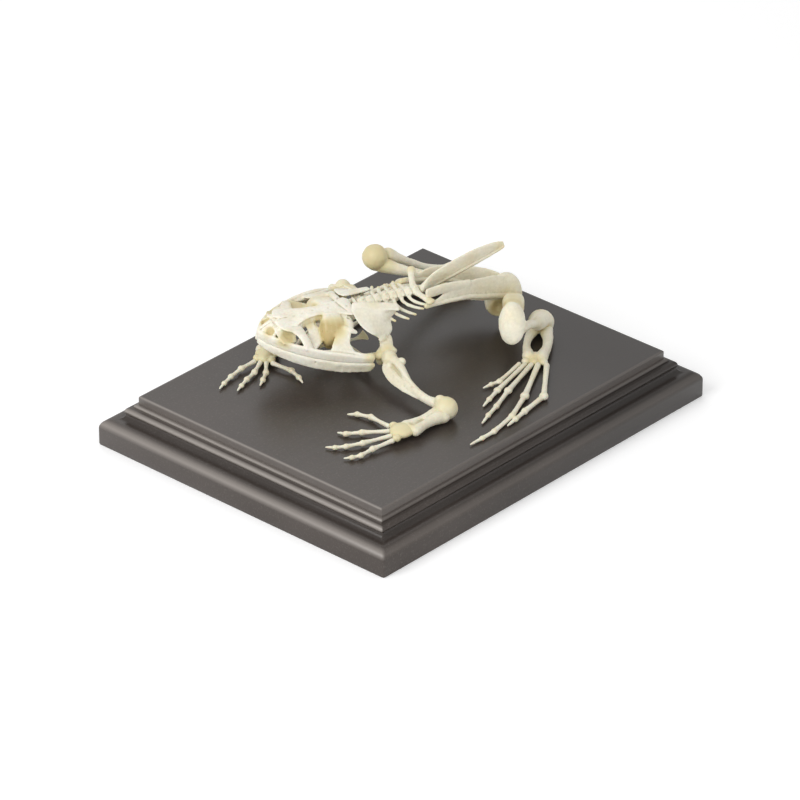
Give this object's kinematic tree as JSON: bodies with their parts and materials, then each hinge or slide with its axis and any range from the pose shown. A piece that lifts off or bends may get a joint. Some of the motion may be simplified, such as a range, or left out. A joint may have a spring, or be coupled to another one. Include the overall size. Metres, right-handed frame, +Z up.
{
  "type": "frog skeleton",
  "caption": "Mounted frog skeleton in a crouching pose with folded hind legs and spread forefeet, fixed on a dark rectangular plinth with a moulded edge.",
  "frame": {"origin": "centre of the plinth's underside", "axes": "+X along the plinth's long side, away from the frog's head; +Z up"},
  "size_m": [0.176, 0.141, 0.0558],
  "materials": {
    "lacquered_wood": "dark satin lacquer on a moulded wooden plinth",
    "bone": "dry cream bone, faintly satin",
    "pale_bone": "thin pale ivory bone, faintly satin",
    "cartilage": "dried yellow-tan cartilage, satin"
  },
  "bodies": {
    "root": {"base_plinth": "lacquered_wood", "carpus_left": "cartilage", "carpus_right": "cartilage", "coracoid_left": "bone", "coracoid_right": "bone", "femur_left": "bone", "femur_right": "bone", "finger_1_left": "bone", "finger_1_right": "bone", "finger_2_left": "bone", "finger_2_right": "bone", "finger_3_left": "bone", "finger_3_right": "bone", "finger_4_left": "bone", "finger_4_right": "bone", "humerus_left": "bone", "humerus_right": "bone", "ilium_left": "bone", "ilium_right": "bone", "ischium_pubis": "cartilage", "mandible_left": "pale_bone", "mandible_right": "pale_bone", "omosternum": "bone", "radioulna_left": "bone", "radioulna_right": "bone", "sacrum": "bone", "scapula_left": "bone", "scapula_right": "bone", "skull": "pale_bone", "sternum": "bone", "suprascapula_left": "pale_bone", "suprascapula_right": "pale_bone", "tarsus_left": "bone", "tarsus_right": "bone", "tibiofibula_left": "bone", "tibiofibula_right": "bone", "toe_1_left": "bone", "toe_1_right": "bone", "toe_2_left": "bone", "toe_2_right": "bone", "toe_3_left": "bone", "toe_3_right": "bone", "toe_4_left": "bone", "toe_4_right": "bone", "toe_5_left": "bone", "toe_5_right": "bone", "urostyle": "bone", "vertebra_1": "bone", "vertebra_2": "bone", "vertebra_3": "bone", "vertebra_4": "bone", "vertebra_5": "bone", "vertebra_6": "bone", "vertebra_7": "bone", "vertebra_8": "bone"}
  },
  "joints": []
}
